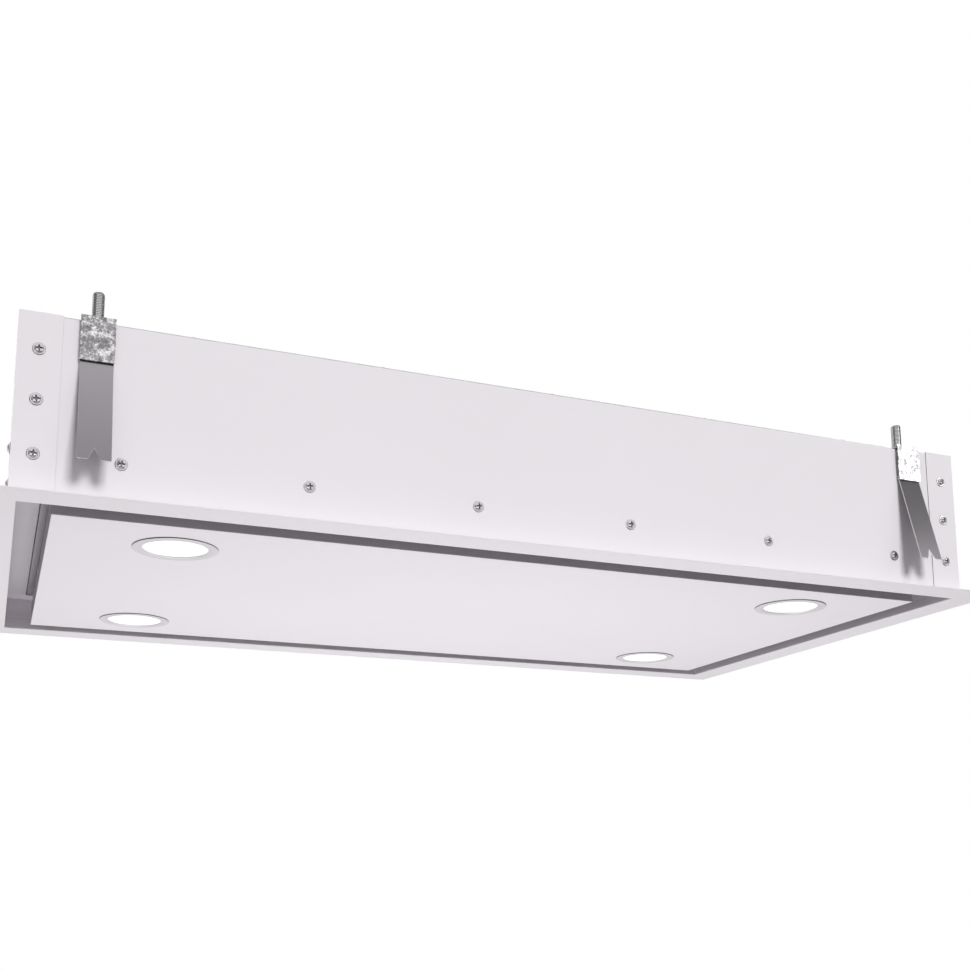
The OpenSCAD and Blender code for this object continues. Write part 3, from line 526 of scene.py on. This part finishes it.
# The cross's arms reach RECESS_REACH from the centre and have painted shade below RECESS_SHADED
RECESS_REACH = 3.5
RECESS_DEPTH = 2.3
RECESS_HALF = 0.75
RECESS_WALL = 0.18
RECESS_TAPER = 1.9
RECESS_FLOOR = 0.5
RECESS_SHADED = 0.5
# Steps round a head, and the radii of the rings between its middle and its edge
HEAD_TURNS = 64
HEAD_RINGS = (0.25, 0.5, 0.75, 1.0, 1.25, 1.5, 1.75, 2.0, 2.3, 2.6, 2.9, 3.2, 3.6, 4.0, 4.35,
              4.6, 4.7, 4.9, 5.3, 5.55, 5.75, 5.95, 6.1, 6.2, 6.25)


def head_height(r):
    """Height of the head over its seat, without the cross recess."""
    if r >= DOME_R:
        edge = max(0.0, (r - (HEAD_R - WASHER_BEND)) / WASHER_BEND)
        return WASHER_H - WASHER_DROP * edge * edge
    return WASHER_H + (DOME_H - WASHER_H) * sqrt(max(0.0, 1 - (r / DOME_R) ** DOME_FULLNESS))


def recess_depth(x, y):
    """Depth of the cross recess, whose two arms cross at the head's centre."""
    depth = 0.0
    for along, across in ((x, y), (y, x)):
        reach = max(0.0, 1 - abs(along) / RECESS_REACH)
        wall = min(1.0, max(0.0, (RECESS_HALF - abs(across)) / RECESS_WALL))
        depth = max(depth, RECESS_DEPTH * min(1.0, reach * RECESS_TAPER) * wall)
    return depth


def screw_turn(n):
    """A turn of the n-th screw's cross, from -6 to 6 degrees and different from its neighbours'."""
    return radians(37 * n % 13 - 6)


def add_screw(bm, place, outward, turn, shade_marks):
    """One screw, its head seated at place and its shank going the other way.

    Its last argument gets one number for each face: 1 where shade is painted, in the cross recess and on the
    washer's edge, 0 elsewhere.
    """
    turned = outward.to_track_quat("Z", "Y").to_matrix() @ Matrix.Rotation(turn, 3, "Z")

    def put(x, y, z):
        return bm.verts.new(place + turned @ Vector((x, y, z)) * MM)

    centre = put(0, 0, head_height(0) - RECESS_DEPTH)
    rows = []
    for r in HEAD_RINGS:
        row = []
        for i in range(HEAD_TURNS):
            x, y = on_circle(r, i / HEAD_TURNS)
            row.append(put(x, y, max(head_height(r) - recess_depth(x, y), RECESS_FLOOR)))
        rows.append(row)
    for r, z in ((HEAD_R, 0.0), (SHANK_R, 0.0), (SHANK_R, -SHANK_LEN + SHANK_CHAMFER),
                 (SHANK_R - SHANK_CHAMFER, -SHANK_LEN)):
        rows.append([put(*on_circle(r, i / HEAD_TURNS), z) for i in range(HEAD_TURNS)])
    for i in range(HEAD_TURNS):
        j = (i + 1) % HEAD_TURNS
        bm.faces.new((centre, rows[0][i], rows[0][j]))
        shade_marks.append(1)
        for k, (inner, outer) in enumerate(zip(rows, rows[1:])):
            bm.faces.new((inner[i], outer[i], outer[j], inner[j]))
            r = sum(HEAD_RINGS[k:k + 2]) / 2 if k + 1 < len(HEAD_RINGS) else HEAD_R
            depth = recess_depth(*on_circle(r, (i + 0.5) / HEAD_TURNS))
            shaded = r > WASHER_EDGE_R or depth > RECESS_SHADED
            shade_marks.append(1 if shaded else 0)
    bm.faces.new(list(reversed(rows[-1])))
    shade_marks.append(0)


def make_screws(node, name):
    """The node's screws as one piece. The solid's lean to one end tells which way each head looks."""
    bm = bmesh.new()
    shade_marks = []
    for n, points in enumerate(islands(node)):
        low = Vector([min(p[k] for p in points) for k in range(3)])
        high = Vector([max(p[k] for p in points) for k in range(3)])
        lean = sum(points, Vector()) / len(points) - (low + high) / 2
        axis = max(range(3), key=lambda k: abs(lean[k]))
        outward = Vector((0, 0, 0))
        outward[axis] = 1 if lean[axis] > 0 else -1
        seat = (low + high) / 2
        seat[axis] = (high if lean[axis] > 0 else low)[axis] - outward[axis] * DOME_H * MM
        add_screw(bm, seat, outward, screw_turn(n), shade_marks)
    piece = stand_in(node, name, mesh_from(bm, name), crease=38)
    piece.data.materials.append(RECESS_SHADE)
    piece.data.polygons.foreach_set("material_index", shade_marks)


# Clamp rods: a right-hand thread above the collar, and the plain foot below it

# Steps round the rod and rows to each pitch; the thread's form, from its root to its crest; the chamfer at
# its ends, along and across the rod in mm
THREAD_TURNS = 32
THREAD_ROWS = 10
FLANK_SLOPE = 7.0
ROOT_FLAT = 0.30
ROD_CHAMFER = 1.3
CHAMFER_IN = 1.1
# The collar's height over the shelf and its own height, in mm
COLLAR_OFF = 1.05
COLLAR_H = 5
# The plain foot is cut this far under the collar's top, and the thread begins this far inside it
FOOT_CUT = 0.02
THREAD_SUNK = 0.4


def thread_radius(turn, z, z0, z1):
    """The rod's radius at height z, after the given share of a turn, on a thread from z0 to z1."""
    share = (z / PITCH - turn) % 1.0
    wave = min(1.0, max(0.0, abs(share - 0.5) * FLANK_SLOPE - ROOT_FLAT))
    ends = min((z - z0) / ROD_CHAMFER, (z1 - z) / ROD_CHAMFER, 1.0)
    return ROD_R - THREAD_DEPTH * (1 - wave) - max(0.0, 1 - ends) * CHAMFER_IN * wave


def make_rod(index):
    node = f"clamp_rod_{index}"
    low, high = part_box(node)
    centre = (low + high) / 2
    collar_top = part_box("intake_shelf")[0].z / MM + COLLAR_OFF + COLLAR_H
    bm = cad_copy(node)
    cut = bmesh.ops.bisect_plane(
        bm, geom=bm.verts[:] + bm.edges[:] + bm.faces[:], plane_co=(0, 0, (collar_top - FOOT_CUT) * MM),
        plane_no=(0, 0, 1), clear_outer=True)
    bmesh.ops.holes_fill(bm, edges=[g for g in cut["geom_cut"] if isinstance(g, bmesh.types.BMEdge)])
    z0, z1 = collar_top - THREAD_SUNK, high.z / MM
    count = int((z1 - z0) / PITCH * THREAD_ROWS)
    rows = []
    for k in range(count + 1):
        z = z0 + (z1 - z0) * k / count
        row = []
        for i in range(THREAD_TURNS):
            x, y = on_circle(thread_radius(i / THREAD_TURNS, z, z0, z1), i / THREAD_TURNS)
            row.append(bm.verts.new((centre.x + x * MM, centre.y + y * MM, z * MM)))
        rows.append(row)
    for lower, upper in zip(rows, rows[1:]):
        for i in range(THREAD_TURNS):
            j = (i + 1) % THREAD_TURNS
            bm.faces.new((lower[i], lower[j], upper[j], upper[i]))
    bm.faces.new(list(reversed(rows[0])))
    bm.faces.new(rows[-1])
    stand_in(node, node + "_threaded", mesh_from(bm, node + "_threaded"), crease=50)


# Spring tongues: blued strip whose edges carry a painted highlight in a bright metal

TONGUE_ROUND = 0.45
# Faces belong to the two broad sides while the cosine between their normals is at least this
BROAD_SIDE = 0.97


def make_tongue(index):
    piece = rounded(f"clamp_tongue_{index}", TONGUE_ROUND, segments=3, least=60)
    # Painted highlight: all faces but the two broad sides take the bright edge metal
    piece.data.materials.append(TONGUE_HIGHLIGHT)
    broad = max(piece.data.polygons, key=lambda face: face.area).normal.copy()
    for face in piece.data.polygons:
        if abs(face.normal.dot(broad)) < BROAD_SIDE:
            face.material_index = 1


# Filters: expanded mesh, as zigzag strands that meet at diamond corners

# Sizes in mm, but the rise of a corner is a share of the strand's height
STRAND_PITCH_X = 9.0
STRAND_PITCH_Y = 5.0
STRAND_W = 0.9
STRAND_H = 0.7
STRAND_RISE = 0.35
# The mesh stays this far inside the frame, and on the latch's side it stops before the latch
MESH_IN = 14.0
LATCH_REACH = 32.0
MESH_UP = 0.75
FRAME_ROUND = 0.25


def make_filter_frame(index):
    piece = rounded(f"filter_{index}", FRAME_ROUND)
    # Painted shade and painted light: the frame's flat faces take a darker copy of the brushed metal, its
    # upright sides a paler one
    piece.data.materials[0] = FILTER_SHADED_FRAME
    piece.data.materials.append(FILTER_LIT_SIDE)
    for face in piece.data.polygons:
        if abs(face.normal.z) < LEAN:
            face.material_index = 1


def make_filter_mesh(index):
    low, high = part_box(f"filter_{index}")
    x0, x1 = low.x / MM + MESH_IN, high.x / MM - MESH_IN
    y0, y1 = low.y / MM + LATCH_REACH, high.y / MM - MESH_IN
    z = low.z / MM + MESH_UP
    bm = bmesh.new()
    lines = int((y1 - y0) / STRAND_PITCH_Y)
    steps = int((x1 - x0) / (STRAND_PITCH_X / 2))
    for j in range(lines):
        middle = y0 + (j + 0.5) * (y1 - y0) / lines
        rows = []
        for i in range(steps + 1):
            x = x0 + (x1 - x0) * i / steps
            up = 1 if (i + j) % 2 else -1
            y = middle + up * (y1 - y0) / lines / 2
            rise = up * STRAND_H * STRAND_RISE
            rows.append([bm.verts.new(Vector((x, y + dy * STRAND_W / 2, z + rise + dz * STRAND_H / 2)) * MM)
                         for dy, dz in ((-1, 0), (0, -1), (1, 0), (0, 1))])
        for a, b in zip(rows, rows[1:]):
            for k in range(4):
                m = (k + 1) % 4
                bm.faces.new((a[k], b[k], b[m], a[m]))
        bm.faces.new(rows[0])
        bm.faces.new(list(reversed(rows[-1])))
    mesh = mesh_from(bm, f"filter_mesh_{index}")
    finish_mesh(mesh, "filter_aluminium", 30)
    piece = new_object(f"filter_mesh_{index}", mesh)
    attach(piece, nodes[f"filter_{index}"]["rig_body"])


# Lap seams of the side panels: the cut edge of each return holds a thin line of shade

SIDE_ROUND = 0.45
# The cut edge of a return, in mm: near the panel's end, on its inner side, and away from its outer face
RETURN_NEAR = 2
CUT_NEAR = 1
CUT_FROM_FACE = 10


def make_side_panel(node):
    piece = rounded(node, SIDE_ROUND)
    piece.data.materials.append(SEAM_SHADE)
    low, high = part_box(node)
    outer_x = high.x if abs(high.x) > abs(low.x) else low.x
    for face in piece.data.polygons:
        on_return = min(face.center.y - low.y, high.y - face.center.y) < RETURN_NEAR * MM
        at_side = min(face.center.x - low.x, high.x - face.center.x) < CUT_NEAR * MM
        cut = at_side and abs(face.center.x - outer_x) > CUT_FROM_FACE * MM
        if on_return and cut and abs(face.normal.x) > LEAN:
            face.material_index = 1


# The slot's side wall, in a paler copy of the slot's steel as painted light

LINER_ROUND = 0.3


def make_liner():
    piece = rounded("slot_liner", LINER_ROUND)
    piece.data.materials[0] = LINER_LIT


# The drop-down panel: painted sheet with a dark rim, in mm

PANEL_ROUND = 0.9
AT_EDGE = 0.05
# The rim is dark from this height over the face, and on its bends from a little lower
RIM_FROM = 1.2
RIM_BEND = 0.6


def make_panel():
    low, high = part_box("drop_panel")
    reach = AT_EDGE * MM

    def outer_bend(e):
        """True for the four bends round the face and the four upright corners of the rim."""
        ends = [v.co for v in e.verts]
        at_x = all(min(p.x - low.x, high.x - p.x) < reach for p in ends)
        at_y = all(min(p.y - low.y, high.y - p.y) < reach for p in ends)
        at_z = all(p.z - low.z < reach for p in ends)
        return at_x + at_y + at_z >= 2

    piece = rounded("drop_panel", PANEL_ROUND, segments=3, chosen=outer_bend)
    piece.data.materials.append(RIM_DARK)
    edge = low.z + RIM_FROM * MM
    for face in piece.data.polygons:
        on_bend = abs(face.normal.z) < LEAN and face.center.z > edge - RIM_BEND * MM
        if face.center.z > edge or on_bend:
            face.material_index = 1


# Building everything

# Widths of the rounded edges, in mm
BRACKET_ROUND = 0.5
ROUNDING = {
    "flange_frame": 0.4, "front_panel": 0.3, "rear_panel": 0.3, "top_panel": 0.2, "control_box": 0.5,
    "control_cover": 0.5, "led_driver": 0.8,
    "filter_latch_1": 0.6, "filter_latch_2": 0.6, "filter_latch_3": 0.6,
    "catch_magnets": 0.4, "catch_brackets": 0.2,
}
dress_cad_nodes()
for cad_node, radius in ROUNDING.items():
    rounded(cad_node, radius)
for n in range(1, 5):
    make_bezel(n)
    rounded(f"clamp_bracket_{n}", BRACKET_ROUND)
    make_tongue(n)
    make_rod(n)
make_liner()
make_panel()
make_side_panel("left_panel")
make_side_panel("right_panel")
for n in range(1, 4):
    make_filter_frame(n)
    make_filter_mesh(n)
for cad_node, piece_name in (("side_screws", "side_screw_heads"),
                             ("long_side_screws", "long_side_screw_heads"),
                             ("top_screws", "top_screw_heads")):
    make_screws(cad_node, piece_name)


# Floor, world and lights, in metres and watts

FLOOR_Z = -2.4
FLOOR_HALF = 30.0
FLOOR_TONE = 0.80
# The floor's glow rises from the first to the second value between these distances from the middle
FLOOR_FADE = (2.5, 6.0)
FLOOR_GLOW = (0.62, 1.0)
WORLD_LEVEL = 0.31

# Soft boxes: name, place, what they look at, width, height, power, and whether metal mirrors them
LIGHTS = (
    ("key_front", (0.45, -6.0, 2.65), (0.05, -0.3, 0.05), 1.8, 1.8, 278, False),
    ("strip_low", (-0.40, -1.15, -0.16), (-0.3, -0.3, 0.04), 1.4, 0.28, 1.15, True),
    ("side_right", (2.13, -2.30, 1.00), (0.5, -0.3, 0.12), 0.9, 0.9, 2.5, False),
    ("under_box", (0.0, 0.05, -1.25), (0.0, 0.05, 0.0), 1.9, 1.1, 18.2, True),
    ("back_fill", (-1.6, 3.2, 1.1), (0.0, 0.3, 0.1), 2.2, 1.8, 60, False),
    ("left_fill", (-3.6, 0.7, 1.0), (-0.5, 0.0, 0.1), 1.6, 1.2, 62, False),
    ("right_fill", (3.6, 0.7, 1.0), (0.5, 0.0, 0.1), 1.6, 1.2, 62, False),
)
# Dark and pale cards: name, level and corners
CARDS = (
    ("card_right", 0.08, ((1.7, -1.1, -0.3), (1.9, 3.2, -0.3), (1.9, 3.2, 1.6), (1.7, -1.1, 1.6))),
    ("card_left", 0.08, ((-2.0, -1.9, -0.3), (-2.0, 0.1, -0.3), (-2.0, 0.1, 1.7), (-2.0, -1.9, 1.7))),
    ("card_low", 0.05, ((-2.5, -0.7, -1.35), (2.5, -0.7, -1.35), (2.5, -5.0, -1.35), (-2.5, -5.0, -1.35))),
    ("card_high", 0.22, ((2.01, -2.09, 1.34), (2.73, -1.13, 1.34), (2.29, -0.81, 2.06), (1.57, -1.77, 2.06))),
    ("card_bright", 3.4, ((0.84, -0.9, 0.25), (1.03, -0.73, 0.25), (1.03, -0.73, 0.51), (0.84, -0.9, 0.51))),
)


def seen_by_eye(tree):
    """1 for camera, glossy and transmission rays, so that metal shows the pale background too."""
    path = tree.nodes.new("ShaderNodeLightPath")
    total = path.outputs["Is Camera Ray"]
    for name in ("Is Glossy Ray", "Is Transmission Ray"):
        node = tree.nodes.new("ShaderNodeMath")
        node.operation = "MAXIMUM"
        tree.links.new(total, node.inputs[0])
        tree.links.new(path.outputs[name], node.inputs[1])
        total = node.outputs[0]
    return total


def make_world(level):
    world = bpy.data.worlds.new("studio")
    bpy.context.scene.world = world
    world.use_nodes = True
    tree = world.node_tree
    tree.nodes.clear()
    eye = tree.nodes.new("ShaderNodeBackground")
    eye.inputs["Color"].default_value = tone(1, 1, 1)
    light = tree.nodes.new("ShaderNodeBackground")
    light.inputs["Color"].default_value = tone(1, 1, 1)
    light.inputs["Strength"].default_value = level
    mix = tree.nodes.new("ShaderNodeMixShader")
    tree.links.new(seen_by_eye(tree), mix.inputs[0])
    tree.links.new(light.outputs[0], mix.inputs[1])
    tree.links.new(eye.outputs[0], mix.inputs[2])
    out = tree.nodes.new("ShaderNodeOutputWorld")
    tree.links.new(mix.outputs[0], out.inputs["Surface"])


def make_floor():
    """A pale floor that takes the shadow below the hood and turns white further out."""
    mesh = bpy.data.meshes.new("studio_floor")
    h = FLOOR_HALF
    mesh.from_pydata([(-h, -h, FLOOR_Z), (h, -h, FLOOR_Z), (h, h, FLOOR_Z), (-h, h, FLOOR_Z)], [],
                     [(0, 1, 2, 3)])
    material = bpy.data.materials.new("floor_white")
    material.use_nodes = True
    tree = material.node_tree
    tree.nodes.clear()
    diffuse = tree.nodes.new("ShaderNodeBsdfDiffuse")
    diffuse.inputs["Color"].default_value = tone(FLOOR_TONE, FLOOR_TONE, FLOOR_TONE)
    glow = tree.nodes.new("ShaderNodeEmission")
    glow.inputs["Color"].default_value = tone(1, 1, 1)
    tree.links.new(seen_by_eye(tree), glow.inputs["Strength"])
    place = tree.nodes.new("ShaderNodeTexCoord")
    flat = tree.nodes.new("ShaderNodeVectorMath")
    flat.operation = "MULTIPLY"
    flat.inputs[1].default_value = (1, 1, 0)
    tree.links.new(place.outputs["Object"], flat.inputs[0])
    away = tree.nodes.new("ShaderNodeVectorMath")
    away.operation = "LENGTH"
    tree.links.new(flat.outputs[0], away.inputs[0])
    fade = tree.nodes.new("ShaderNodeMapRange")
    fade.inputs["From Min"].default_value, fade.inputs["From Max"].default_value = FLOOR_FADE
    fade.inputs["To Min"].default_value, fade.inputs["To Max"].default_value = FLOOR_GLOW
    tree.links.new(away.outputs["Value"], fade.inputs["Value"])
    mix = tree.nodes.new("ShaderNodeMixShader")
    tree.links.new(fade.outputs["Result"], mix.inputs[0])
    tree.links.new(diffuse.outputs[0], mix.inputs[1])
    tree.links.new(glow.outputs[0], mix.inputs[2])
    out = tree.nodes.new("ShaderNodeOutputMaterial")
    tree.links.new(mix.outputs[0], out.inputs["Surface"])
    mesh.materials.append(material)
    new_object("studio_floor", mesh)


def make_light(name, place, target, width, height, power, mirrored):
    """A soft box, which shows in metal only if it is mirrored."""
    data = bpy.data.lights.new(name, "AREA")
    data.shape = "RECTANGLE"
    data.size, data.size_y, data.energy = width, height, power
    lamp = new_object(name, data)
    lamp.location = place
    aim = Vector(target) - Vector(place)
    lamp.rotation_euler = aim.to_track_quat("-Z", "Y").to_euler()
    lamp.visible_camera = False
    lamp.visible_glossy = mirrored


def make_card(name, level, corners):
    """A dark or pale card that only reflections see, as a studio uses to give bright metal its edges."""
    mesh = bpy.data.meshes.new(name)
    mesh.from_pydata(corners, [], [(0, 1, 2, 3)])
    material = bpy.data.materials.new(name)
    material.use_nodes = True
    tree = material.node_tree
    tree.nodes.clear()
    glow = tree.nodes.new("ShaderNodeEmission")
    glow.inputs["Color"].default_value = tone(1, 1, 1)
    glow.inputs["Strength"].default_value = level
    out = tree.nodes.new("ShaderNodeOutputMaterial")
    tree.links.new(glow.outputs[0], out.inputs["Surface"])
    mesh.materials.append(material)
    card = new_object(name, mesh)
    card.visible_camera = False
    card.visible_diffuse = False
    card.visible_shadow = False


make_world(WORLD_LEVEL)
make_floor()
for light in LIGHTS:
    make_light(*light)
for card in CARDS:
    make_card(*card)


# Camera

def make_camera():
    forward = Vector((sin(CAMERA_YAW) * cos(CAMERA_PITCH), cos(CAMERA_YAW) * cos(CAMERA_PITCH),
                      sin(CAMERA_PITCH)))
    level = Vector((cos(CAMERA_YAW), -sin(CAMERA_YAW), 0))
    upright = level.cross(forward)
    right = level * cos(CAMERA_ROLL) + upright * sin(CAMERA_ROLL)
    up = upright * cos(CAMERA_ROLL) - level * sin(CAMERA_ROLL)
    data = bpy.data.cameras.new("photo_camera")
    data.sensor_width = CAMERA_SENSOR
    data.lens = CAMERA_LENS
    data.shift_y = CAMERA_SHIFT
    data.clip_start, data.clip_end = CAMERA_CLIP
    camera = new_object("photo_camera", data)
    turn = Matrix((right, up, -forward)).transposed().to_4x4()
    camera.matrix_world = Matrix.Translation(CAMERA_AT) @ turn
    bpy.context.scene.camera = camera


make_camera()
bpy.context.scene.view_settings.view_transform = "Standard"
